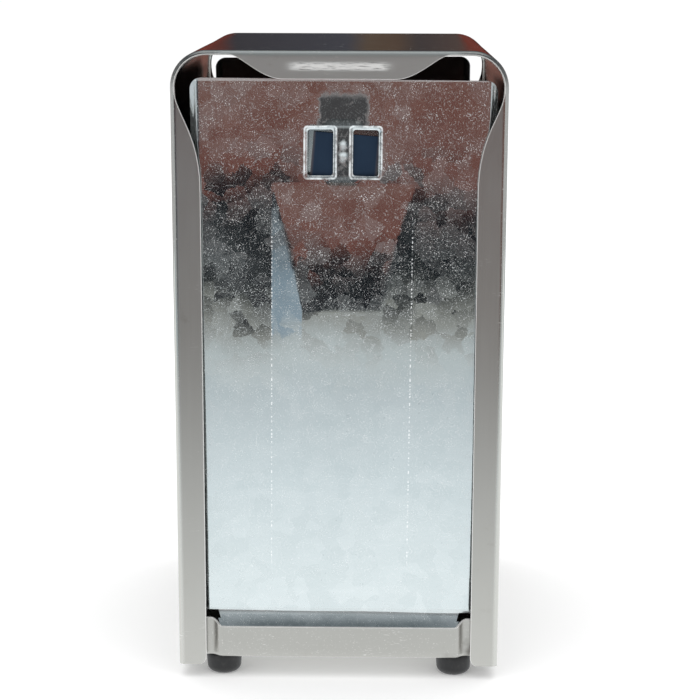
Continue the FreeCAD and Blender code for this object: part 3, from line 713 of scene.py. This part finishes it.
def galvanised(name, tilt_share, on_plate):
    """Spangled zinc: crystals a few millimetres across with feathered insides, haze, specks and nicks."""
    dull_zinc, clear_zinc, worn_and_highlight_zinc = (0.62, 0.68, 0.69), (0.76, 0.81, 0.82), (0.92, 0.95, 0.96)
    spoiled_zinc, reflection_patch_dark, reflection_patch_pale = (0.30, 0.33, 0.35), (0.020, 0.024, 0.027), (0.13, 0.145, 0.152)
    rim_highlight_and_weld_zinc, shaded_foot, inside_shade_dark = (0.80, 0.86, 0.88), (0.22, 0.26, 0.27), (0.10, 0.10, 0.10)
    coat = Finish(name)
    spot = coat.place()
    x, y, z = coat.axes(spot)
    outwards = y.math("SIGN") * -1.0
    above_bend = z - plate_bend
    across = x * outwards - above_bend * math.tan(plate_skew)
    flat = coat.pair(x, z)
    warp = coat.noise(spot, 260.0, 3.0, 0.6, "Color")
    bent = coat.vector("MULTIPLY_ADD", (warp, (4 * mm, 4 * mm, 4 * mm), spot))
    crystal = coat.cells(bent, 190.0, {"feature": "F1"}, "Color")
    needle = coat.cells(bent, 620.0, {"feature": "F1"}, "Color")
    pick_a, pick_b, pick_c = coat.axes(crystal)
    pick_d, _, _ = coat.axes(needle)
    lean = coat.vector("SUBTRACT", (crystal, (0.5, 0.5, 0.5)))
    ribs = coat.vector("DOT_PRODUCT", (spot, lean), "Value")
    rib_place = coat.pair(ribs * 5200.0, pick_a * 90.0)
    feather = coat.noise(rib_place, 1.0, 3.0, 0.65)
    cloud = coat.noise(spot, 38.0, 4.0, 0.6)
    drift = coat.noise(coat.stretched(spot, (60.0, 60.0, 190.0), (0.0, 0.5, 0.0)), 1.0, 4.0, 0.65)
    powder = coat.noise(spot, 3000.0, 2.0, 0.6)
    specks = coat.rise(powder + (coat.noise(spot, 300.0, 3.0) - 0.5) * 0.20, 0.62, 0.67)
    scratches = nicks(coat, flat, 700.0, 0.06 * mm, 0.7 * mm, 0.30)
    long_scratches = nicks(coat, flat, 150.0, 0.05 * mm, 3.2 * mm, 0.30)
    top_band = coat.rise(above_bend, plate_height - 16 * mm, plate_height)
    top_band = top_band.most(coat.rise(abs(across), 36 * mm, 44 * mm) * coat.rise(z, 120 * mm, 160 * mm))
    # A paler, more diffuse line just under the plate's top edge.
    top_edge_line = coat.rise(above_bend, plate_height - 0.9 * mm, plate_height - 0.5 * mm)
    tick_noise = coat.noise(coat.stretched(flat, (2600.0, 300.0, 1.0)), 1.0, 2.0)
    ticks = coat.rise(tick_noise, 0.66, 0.72) * top_band
    # Painted highlight: dashed pale lines along the panel's outer creases.
    crease = coat.fall(abs(abs(across) - panel_half + 0.1 * mm), 0.10 * mm, 0.26 * mm)
    dashes = coat.rise(coat.noise(z * 900.0, 1.0, 2.0), 0.50, 0.58)
    along = coat.rise(z, 34 * mm, 40 * mm) * coat.fall(z, 140 * mm, 150 * mm)
    paler_mask = crease * dashes * along
    marks = specks.most(scratches * 0.7).most(long_scratches * 0.4).most(ticks * 0.8)
    frost = coat.rise(feather * 0.60 + pick_b * 0.40, 0.42, 0.85)
    # Painted shade: faces turned into the shell are made darker and rougher, and the saddles largely so all
    # over.
    face = coat.node("ShaderNodeNewGeometry", {}, {}, "Normal")
    _, facing, _ = coat.axes(face)
    inside_shade = coat.fall(facing * outwards * -1.0, -0.2, 0.2).most(0.6 * (1 - on_plate))
    # Painted highlight: pale lines round each window, on the sheet the punch drew back.
    over_middle = above_bend - window_middle
    beyond_x = abs(abs(across) - window_x) - window_half_width
    beyond_z = abs(over_middle) - window_half_height
    corner = coat.pair(beyond_x.most(0.0), beyond_z.most(0.0))
    gap = coat.vector("LENGTH", (corner,), "Value")
    in_window = coat.fall(beyond_x.most(beyond_z), -0.35 * mm, -0.05 * mm)
    drawn = coat.fall(gap, 1.0 * mm, 1.35 * mm)
    outer_line = coat.rise(gap, 0.45 * mm, 0.75 * mm) * drawn
    inner_line = coat.fall(gap, 0.10 * mm, 0.40 * mm)
    rim = outer_line.most(inner_line * 0.8).most(drawn * 0.35)
    rim = rim * (1 - in_window) * on_plate
    blotch = coat.noise(spot, 420.0, 4.0, 0.65)
    # Painted reflection: a dark, mottled patch above the windows and along the bridge.
    wander = (blotch - 0.5) * 5.0 * mm
    tab = coat.fall(abs(across) + wander, 6.6 * mm, 8.2 * mm)
    tab = tab * coat.rise(over_middle, 7.0 * mm, 8.4 * mm)
    tab = tab * coat.fall(over_middle + wander, 16.0 * mm, 19.0 * mm) * coat.rise(blotch, 0.20, 0.44)
    on_bridge = coat.fall(abs(across), 2.6 * mm, 3.2 * mm) * coat.fall(beyond_z, 0.0, 2.0 * mm)
    dark_reflection_patch = tab.most(on_bridge * coat.rise(blotch, 0.22, 0.50))
    welded = 0.0
    for weld_x, weld_z in welds:
        off = coat.pair(across - weld_x, (over_middle - (weld_z - window_middle)) * 0.7)
        far = coat.vector("LENGTH", (off,), "Value")
        welded = coat.fall(far + (blotch - 0.5) * 2.6 * mm, 0.3 * mm, 1.5 * mm).most(welded)
    roughness = 0.055 + frost * 0.05 + (drift - 0.5) * 0.04 + marks * 0.20 + (pick_d - 0.5) * 0.02
    roughness = roughness + inside_shade * 0.30
    haze = 0.010 + frost * 0.10 + coat.rise(cloud, 0.40, 0.75) * 0.05
    haze = haze * (1 - coat.rise(across, 18.0 * mm, 24.0 * mm) * 0.3) + marks * 0.36 + paler_mask * 0.6
    # The painted window highlight, joined by the pale weld marks and the paler line under the top edge.
    bright = (rim * (0.25 + coat.rise(blotch, 0.34, 0.60) * 0.60)).most(welded * 0.5)
    bright = bright.most(top_edge_line * 0.30) * on_plate
    crazed = coat.fall(abs(above_bend), 0.5 * mm, 1.4 * mm) * 0.34 * on_plate
    haze = haze.most(bright).most(crazed).most(dark_reflection_patch * 0.60)
    zinc = coat.tint(pick_c * 0.4 + drift * 0.6, dull_zinc, clear_zinc)
    # Real marks turn the zinc paler, and so does the painted crease highlight.
    zinc = coat.tint((marks * 0.5).most(paler_mask), zinc, worn_and_highlight_zinc)
    spoiled = coat.rise(coat.noise(spot, 900.0, 3.0, 0.6), 0.68, 0.76)
    zinc = coat.tint(spoiled * 0.40, zinc, spoiled_zinc)
    reflection_patch = coat.tint(coat.rise(feather * 0.5 + powder * 0.5, 0.50, 0.66), reflection_patch_dark, reflection_patch_pale)
    zinc = coat.tint(dark_reflection_patch * 0.94 * on_plate, zinc, reflection_patch)
    zinc = coat.tint((bright * 1.6).least(1.0), zinc, rim_highlight_and_weld_zinc)
    foot_shade = coat.fall(above_bend, -3.6 * mm, -1.0 * mm)
    foot_shade = foot_shade * (0.55 + blotch * 0.5) * (1 - coat.rise(abs(across), 24 * mm, 40 * mm) * 0.6)
    zinc = coat.tint(foot_shade.least(1.0), zinc, shaded_foot)
    zinc = coat.tint(inside_shade * 0.80, zinc, inside_shade_dark)
    tilted = coat.vector("MULTIPLY_ADD", (lean, (tilt_share, tilt_share, tilt_share), face))
    height = powder * 0.4 + feather * 0.5 + specks * 0.5
    coat.wear(Base_Color=zinc, Metallic=1 - haze * (1 - inside_shade), Roughness=roughness.most(0.04).least(0.7),
              Normal=coat.relief(height, 0.004 * mm, 0.4, tilted))
    return coat


def move(mesh, place, turn=Matrix()):
    """Turn a mesh about the origin, then shift it."""
    bmesh.ops.transform(mesh, matrix=Matrix.Translation(place) @ turn, verts=mesh.verts)


plate_zinc = galvanised("galvanised_sheet", tilt_share=0.012, on_plate=1.0)
front_sheet = make_piece("front_plate_sheet", plate_mesh(), plate_zinc.material)
rear_mesh = plate_mesh()
move(rear_mesh, (0, 0, 0), Matrix.Rotation(math.pi, 4, "Z"))
rear_sheet = make_piece("rear_plate_sheet", rear_mesh, plate_zinc.material)
for sheet, body, node in ((front_sheet, "front_follower", "front_plate"),
                          (rear_sheet, "rear_follower", "rear_plate")):
    thicken(sheet, plate_sheet, -1, cut_edge)
    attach(sheet, body)
    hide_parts(node)

# ----------------------------------------
# Saddles and spring anchor. Small galvanised pressings: each saddle is a plate that clamps the
# spring's end behind a plate's bridge, a few degrees off square, all three spot-welded together.
# The anchor is a channel riveted to the pan.


def merged_copy(node, name):
    """The CAD node's own shape as one smooth mesh with its sharp edges eased."""
    mesh = bmesh.new()
    mesh.from_mesh(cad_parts[node].data)
    bmesh.ops.remove_doubles(mesh, verts=mesh.verts, dist=0.002 * mm)
    bmesh.ops.dissolve_limit(mesh, angle_limit=math.radians(1), verts=mesh.verts, edges=mesh.edges)
    piece = make_piece(name, mesh, saddle_zinc.material)
    ease_edges(piece, 0.1 * mm)
    return piece


saddle_zinc = galvanised("saddle_zinc", tilt_share=0.012, on_plate=0.0)
for node, body in (("front_saddle", "front_follower"), ("rear_saddle", "rear_follower"),
                   ("spring_anchor", "housing")):
    pressing = merged_copy(node, node + "_pressing")
    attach(pressing, body)
    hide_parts(node)

# ----------------------------------------
# Leaf springs. Blued spring steel strip, 0.5 mm by 20.2 mm, riveted to the anchor at the foot and
# welded behind the plate's bridge at the top. Each bends in one long S.

leaf_sheet = 0.5 * mm
leaf_half = 10.1 * mm
anchor_low, anchor_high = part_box("spring_anchor")
leaf_heel = pan_low.z + shell_sheet + 0.6 * mm
leaf_back = plate_sheet + bridge_press + leaf_sheet
leaf_tip_place = window_high - 1.4 * mm
leaf_lay = leaf_tip_place - 36.0 * mm       # above this the strip lies straight against the bridge
leaf_pivot = window_middle - 9.1 * mm       # where the turned end crosses the plate's middle
leaf_skew = math.radians(4.5)
leaf_edge = 0.08 * mm
heel_corner = 2.5 * mm
leaf_arrive = stand_plate(Vector((0, leaf_back, leaf_lay)))
leaf_arrive.x = 0.0
leaf_leave = Vector((0, anchor_low.y, anchor_high.z))
leaf_pull = (leaf_arrive.z - leaf_leave.z) * 0.42


def leaf_path():
    """Rear face of the front spring, from heel to tip, each point with the strip's turn off square."""
    points = [(Vector((0, anchor_low.y, z)), 0.0) for z in stations([leaf_heel, leaf_leave.z], 3 * mm)]
    first = leaf_leave + Vector((0, 0, leaf_pull))
    upright = stand_plate(Vector((0, 0, 1))) - stand_plate(Vector((0, 0, 0)))
    second = leaf_arrive - upright * leaf_pull
    end_shift = (leaf_lay - leaf_pivot) * math.tan(leaf_skew)
    side_start = stand_plate(Vector((end_shift, leaf_back, leaf_lay))).x
    for index in range(1, 61):
        share = index / 60
        rest = 1 - share
        point = (leaf_leave * rest ** 3 + first * (3 * rest * rest * share)
                 + second * (3 * rest * share * share) + leaf_arrive * share ** 3)
        settle = fade(0.55, 1.0, share)
        point.x = side_start * settle
        points.append((point, leaf_skew * settle))
    for place in stations([leaf_lay, leaf_tip_place], 2.5 * mm)[1:]:
        shift = (place - leaf_pivot) * math.tan(leaf_skew)
        points.append((stand_plate(Vector((shift, leaf_back, place))), leaf_skew))
    return points


leaf_points = leaf_path()
leaf_runs = [0.0]
for (before, _), (after, _) in zip(leaf_points, leaf_points[1:]):
    leaf_runs.append(leaf_runs[-1] + (after - before).length)
leaf_columns = stations([-leaf_half, leaf_half], 3 * mm)


def leaf_point(column, row):
    """Point of the strip; its corners are clipped round at the heel only."""
    x = leaf_columns[column]
    from_heel = leaf_runs[row]
    if from_heel < heel_corner:
        rest = heel_corner - from_heel
        x *= 1 - (heel_corner - math.sqrt(heel_corner ** 2 - rest ** 2)) / leaf_half
    place, turn = leaf_points[row]
    return place + Vector((x * math.cos(turn), 0, -x * math.sin(turn))), (leaf_runs[row], x)


def spring_steel():
    """Blued strip: navy oxide, straw-coloured at its edges, drawn lines and a film of oil."""
    coat = Finish("spring_steel")
    grain = coat.grain()
    _, across, _ = coat.axes(grain)
    lines = coat.noise(coat.stretched(grain, (45.0, 5200.0, 1.0)), 1.0, 3.0)
    oil = coat.noise(grain, 95.0, 4.0, 0.6)
    edge = coat.rise(abs(across), leaf_half * 0.90, leaf_half)
    oxide = coat.tint(oil * 0.6 + lines * 0.4, (0.010, 0.024, 0.052), (0.026, 0.050, 0.088))
    oxide = coat.tint(edge * lines, oxide, (0.16, 0.13, 0.12))
    coat.wear(Base_Color=oxide, Metallic=0.4, Specular_IOR_Level=0.2,
              Roughness=0.34 + lines * 0.14 + oil * 0.10, Normal=coat.relief(lines, 0.01 * mm, 0.3))
    return coat


blued = spring_steel()
for name, body, node, turn in (("front_leaf", "front_follower", "front_leaf_spring", 0.0),
                               ("rear_leaf", "rear_follower", "rear_leaf_spring", math.pi)):
    strip = sheet_grid(len(leaf_columns), len(leaf_points), leaf_point)
    spin = Matrix.Rotation(turn, 4, "Z")
    move(strip, (0, 0, 0), spin)
    leaf = make_piece(name, strip, blued.material)
    thicken(leaf, leaf_sheet, 1, leaf_edge)
    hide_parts(node)
    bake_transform(leaf)

# ----------------------------------------
# Rivets and washers. Zinc-plated steel, domed at both ends: through the springs and the anchor's
# walls, through the anchor and the pan, and up through each foot.

rivet_radius = 1.5 * mm
head_radius = 2.4 * mm
head_height = 1.1 * mm
rivet_hole = rivet_radius + 0.08 * mm
steel_edge = 0.06 * mm


def turned_mesh(outline):
    """Solid of revolution about Z, from points (radius, height) that start and end on the axis."""
    mesh = bmesh.new()
    rim = [mesh.verts.new((radius, 0, height)) for radius, height in outline]
    edges = [mesh.edges.new(pair) for pair in zip(rim, rim[1:])]
    bmesh.ops.spin(mesh, geom=rim + edges, axis=(0, 0, 1), cent=(0, 0, 0), angle=2 * math.pi, steps=40,
                   use_merge=True)
    bmesh.ops.remove_doubles(mesh, verts=mesh.verts, dist=0.002 * mm)
    bmesh.ops.recalc_face_normals(mesh, faces=mesh.faces)
    return mesh


def dome(radius, height, base, up):
    """Outline of a domed head, from its tip to its rim."""
    return [(radius * sine, base + up * height * cosine) for sine, cosine in quarter(8)]


def rivet_outline(grip):
    low = dome(head_radius, head_height, -grip / 2, -1)
    high = dome(head_radius, head_height, grip / 2, 1)
    return low + [(rivet_radius, -grip / 2), (rivet_radius, grip / 2)] + high[::-1]


def plated_steel():
    """Zinc-plated steel: a fine satin skin, slightly yellow where it is thick, dulled by handling."""
    coat = Finish("rivet_steel")
    spot = coat.place()
    grit = coat.noise(spot, 2400.0, 3.0, 0.6)
    patches = coat.noise(spot, 420.0, 3.0, 0.6)
    skin = coat.tint(patches, (0.52, 0.52, 0.50), (0.72, 0.70, 0.64))
    coat.wear(Base_Color=skin, Metallic=1.0, Roughness=0.22 + grit * 0.16 + patches * 0.14,
              Normal=coat.relief(grit, 0.02 * mm, 0.5))
    return coat


def fit_steel(node, mesh):
    piece = make_piece(node + "_steel", mesh, plated.material)
    ease_edges(piece, steel_edge)
    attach(piece, "housing")
    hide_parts(node)


def standing(low, high):
    """Middle of a box's foot."""
    return (low.x + high.x) / 2, (low.y + high.y) / 2, low.z


plated = plated_steel()
for node in sorted(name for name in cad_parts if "rivet" in name):
    low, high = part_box(node)
    middle = (low + high) / 2
    upright_rivet = "floor" in node or "foot" in node
    length = high.z - low.z if upright_rivet else high.y - low.y
    tilt = 0.0 if upright_rivet else math.pi / 2
    rivet = turned_mesh(rivet_outline(length - 2 * head_height))
    move(rivet, middle, Matrix.Rotation(tilt, 4, "X"))
    fit_steel(node, rivet)

for node in sorted(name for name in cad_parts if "washer" in name):
    low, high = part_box(node)
    outer = (high.x - low.x) / 2
    thick = high.z - low.z
    bore = rivet_hole
    washer = turned_mesh([(bore, 0), (outer, 0), (outer, thick), (bore, thick), (bore, 0)])
    move(washer, standing(low, high))
    fit_steel(node, washer)

# ----------------------------------------
# Feet. Four moulded black rubber bumpers under the pan's corners, barrel-shaped with a rounded
# lower edge, and a recess below for the rivet's head and its washer.

foot_radius = 5.8 * mm
foot_waist = foot_radius - 0.35 * mm
foot_round = 2.1 * mm
foot_recess = 2.5 * mm
foot_recess_depth = 3.2 * mm
foot_bulge_shares = (0.3, 0.6, 0.9)


def foot_outline(height):
    points = [(foot_recess, 0.0)]
    points += [(foot_waist - foot_round * (1 - sine), foot_round * (1 - cosine)) for sine, cosine in quarter(8)]
    points += [(between(foot_waist, foot_radius, share), between(foot_round, height, share))
               for share in foot_bulge_shares]
    points += [(foot_radius - 0.25 * mm, height), (rivet_hole, height), (rivet_hole, foot_recess_depth),
               (foot_recess, foot_recess_depth), (foot_recess, 0.0)]
    return points


def foot_rubber():
    """Black rubber: fine moulding texture, paler scuffs near the ground and a little dust."""
    coat = Finish("foot_rubber")
    spot = coat.place()
    _, _, z = coat.axes(spot)
    skin = coat.noise(spot, 1800.0, 4.0, 0.6)
    dust = coat.rise(coat.noise(spot, 320.0, 4.0, 0.6), 0.45, 0.8)
    paler_mask = coat.fall(z, 0.2 * mm, 2.4 * mm) * skin
    black = coat.tint(dust * 0.5 + paler_mask * 0.5, (0.010, 0.010, 0.011), (0.075, 0.072, 0.068))
    coat.wear(Base_Color=black, Roughness=0.42 + skin * 0.2 + dust * 0.15,
              Normal=coat.relief(skin, 0.05 * mm, 0.5))
    return coat


rubber = foot_rubber()
for node in ("foot_front_left", "foot_front_right", "foot_rear_left", "foot_rear_right"):
    low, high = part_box(node)
    foot = turned_mesh(foot_outline(high.z - low.z))
    move(foot, standing(low, high))
    piece = make_piece(node + "_rubber", foot, rubber.material)
    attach(piece, "housing")
    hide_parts(node)

# ----------------------------------------
# Stage. A white table in soft light from every side. The metal mirrors a sheen on the table and a
# dim dome round it instead, as a studio shades polished work so that it doesn't turn blank white.


def stage_piece(name, mesh, material):
    piece = put(name, mesh_data(name, mesh, material))
    return piece


def level_plane(name, half_x, half_y, z, material):
    mesh = bmesh.new()
    size = Matrix.Diagonal((half_x, half_y, 1, 1))
    bmesh.ops.create_grid(mesh, x_segments=1, y_segments=1, size=1.0,
                          matrix=Matrix.Translation((0, 0, z)) @ size)
    return stage_piece(name, mesh, material)


def metal_only(piece):
    """Polished metal mirrors it, and it neither shows nor lights nor shades anything else."""
    piece.visible_camera = False
    piece.visible_diffuse = False
    piece.visible_shadow = False


def glow(coat, color):
    coat.wear(Base_Color=(0, 0, 0), Specular_IOR_Level=0.0, Emission_Color=color,
              Emission_Strength=1.0)
    return coat.material


def ramp(coat, value, low, high, stops):
    """Colour along a value that goes from low to high, from stops given at that value."""
    places = [((place - low) / (high - low), color + (1,)) for place, color in stops]
    return coat.node("ShaderNodeValToRGB", {"stops": places}, {0: (value - low) / (high - low)}, "Color")


dome_radius = 2.2
table_half = 2.5
sheen_half_x, sheen_half_y = 0.9, 0.505
side_strip = (-0.42, -0.34)     # where the room's light blue side begins, left of whoever faces a plate


def table_sheen():
    """What the metal sees of the table: bright beside the object, duller further off, tan at its edge."""
    side_blue = (0.50, 0.59, 0.64)
    coat = Finish("table_sheen")
    x, y, _ = coat.axes(coat.place())
    stops = [(0.06, (1.10, 1.13, 1.14)), (0.138, (1.04, 1.08, 1.09)), (0.239, (0.88, 0.93, 0.95)),
             (0.379, (0.64, 0.68, 0.70)), (0.450, (0.61, 0.64, 0.64)), (sheen_half_y, (0.42, 0.42, 0.405))]
    beyond = coat.fall(from_front(x, y), *side_strip) * coat.rise(abs(y), 0.28, 0.38)
    return glow(coat, coat.tint(beyond, ramp(coat, abs(y), 0.0, 1.0, stops), side_blue))


def room_dome():
    """Dim room round the table: dark and brick-red bands low down, dark above, pale overhead."""
    coat = Finish("room_dome")
    spot = coat.place()
    x, y, z = coat.axes(spot)
    turned = from_front(x, y)
    ragged = z + (coat.noise(spot, 7.0, 3.0, 0.6) - 0.5) * 0.10
    low = ramp(coat, ragged, -0.6, 0.4, [
        (-0.50, (0.44, 0.44, 0.42)), (-0.390, (0.34, 0.33, 0.30)), (-0.355, (0.012, 0.015, 0.018)),
        (-0.225, (0.010, 0.012, 0.015)), (-0.195, (0.18, 0.070, 0.056)), (0.02, (0.20, 0.098, 0.080)),
        (0.10, (0.03, 0.020, 0.018))])
    left = ramp(coat, ragged, -0.6, 0.4, [
        (-0.50, (0.40, 0.48, 0.54)), (-0.36, (0.28, 0.35, 0.41)), (-0.30, (0.22, 0.27, 0.31)),
        (-0.26, (0.03, 0.03, 0.035))])
    across = 0.265 - turned
    far = ramp(coat, across + (coat.noise(spot, 9.0, 3.0) - 0.5) * 0.05, 0.0, 0.447, [
        (0.0, (0.16, 0.040, 0.030)), (0.045, (0.10, 0.035, 0.030)), (0.065, (0.045, 0.043, 0.050)),
        (0.230, (0.058, 0.058, 0.070)), (0.262, (0.095, 0.068, 0.050)), (0.305, (0.090, 0.060, 0.044)),
        (0.330, (0.055, 0.046, 0.046)), (0.395, (0.080, 0.056, 0.050)), (0.418, (0.14, 0.040, 0.030)),
        (0.447, (0.16, 0.040, 0.030))])
    high = ramp(coat, z / dome_radius, 0.0, 1.0, [
        (0.20, (0.05, 0.052, 0.055)), (0.78, (0.09, 0.10, 0.11)), (0.90, (0.30, 0.35, 0.36)),
        (0.975, (0.42, 0.47, 0.48)), (0.99, (1.3, 1.3, 1.3))])
    beside = ramp(coat, z / dome_radius, -0.3, 1.0, [
        (-0.25, (0.50, 0.51, 0.52)), (0.0, (0.62, 0.64, 0.66)), (0.30, (0.20, 0.21, 0.22)),
        (0.80, (0.10, 0.11, 0.12)), (0.95, (0.45, 0.48, 0.50))])
    room = coat.tint(coat.fall(turned, *side_strip), low, left)
    room = coat.tint(coat.rise(z, 0.14, 0.18), room, far)
    room = coat.tint(coat.rise(z, 0.40, 0.55), room, high)
    return glow(coat, coat.tint(coat.fall(abs(y) / dome_radius, 0.72, 0.86), room, beside))


table_top = Finish("white_table")
table_top.wear(Base_Color=(0.90, 0.90, 0.90), Roughness=0.8, Specular_IOR_Level=0.0,
               Emission_Color=(1, 1, 1), Emission_Strength=0.16)
table = level_plane("table", table_half, table_half, 0.0, table_top.material)
table.visible_glossy = False
metal_only(level_plane("table_sheen", sheen_half_x, sheen_half_y, 0.05 * mm, table_sheen()))

dome_mesh = bmesh.new()
bmesh.ops.create_uvsphere(dome_mesh, u_segments=64, v_segments=32, radius=dome_radius)
metal_only(stage_piece("dome", dome_mesh, room_dome()))

world = bpy.data.worlds.new("soft_room")
world.use_nodes = True
world.node_tree.nodes["Background"].inputs["Color"].default_value = (1, 1, 1, 1)
world.node_tree.nodes["Background"].inputs["Strength"].default_value = 1.02
bpy.context.scene.world = world

lamp = bpy.data.lights.new("overhead", "AREA")
lamp.shape = "RECTANGLE"
lamp.size = 1.6
lamp.size_y = 1.6
lamp.energy = 7.0
light = put("overhead", lamp)
light.location = (0.0, -0.2, 1.4)
light.rotation_euler = (-light.location).to_track_quat("-Z", "Y").to_euler()
light.visible_glossy = False

# ----------------------------------------
# Camera. A long lens a little over half a metre in front, just right of the middle and above the
# top, looking slightly down.

camera_aside = 11.9 * mm
camera_ahead = 561.8 * mm       # in front of the dispenser's face
camera_above = 222.1 * mm       # over the shell's foot
camera_place = Vector((camera_aside, -camera_ahead - half_depth, camera_above + shell_foot))
camera_turn = -0.015
camera_dip = 0.209
camera_roll = 0.003
lens = bpy.data.cameras.new("camera")
lens.lens = 95.98
lens.sensor_width = 36.0
lens.clip_start = 0.01
lens.clip_end = 20.0
ahead = Vector((math.sin(camera_turn) * math.cos(camera_dip), math.cos(camera_turn) * math.cos(camera_dip),
                -math.sin(camera_dip)))
right = Vector((math.cos(camera_turn), -math.sin(camera_turn), 0))
above = right.cross(ahead)
rolled_right = right * math.cos(camera_roll) + above * math.sin(camera_roll)
rolled_above = above * math.cos(camera_roll) - right * math.sin(camera_roll)
camera = put("camera", lens)
turned = Matrix((rolled_right, rolled_above, -ahead)).transposed().to_4x4()
camera.matrix_world = Matrix.Translation(camera_place) @ turned
bpy.context.scene.camera = camera
bpy.context.scene.view_settings.view_transform = "Standard"
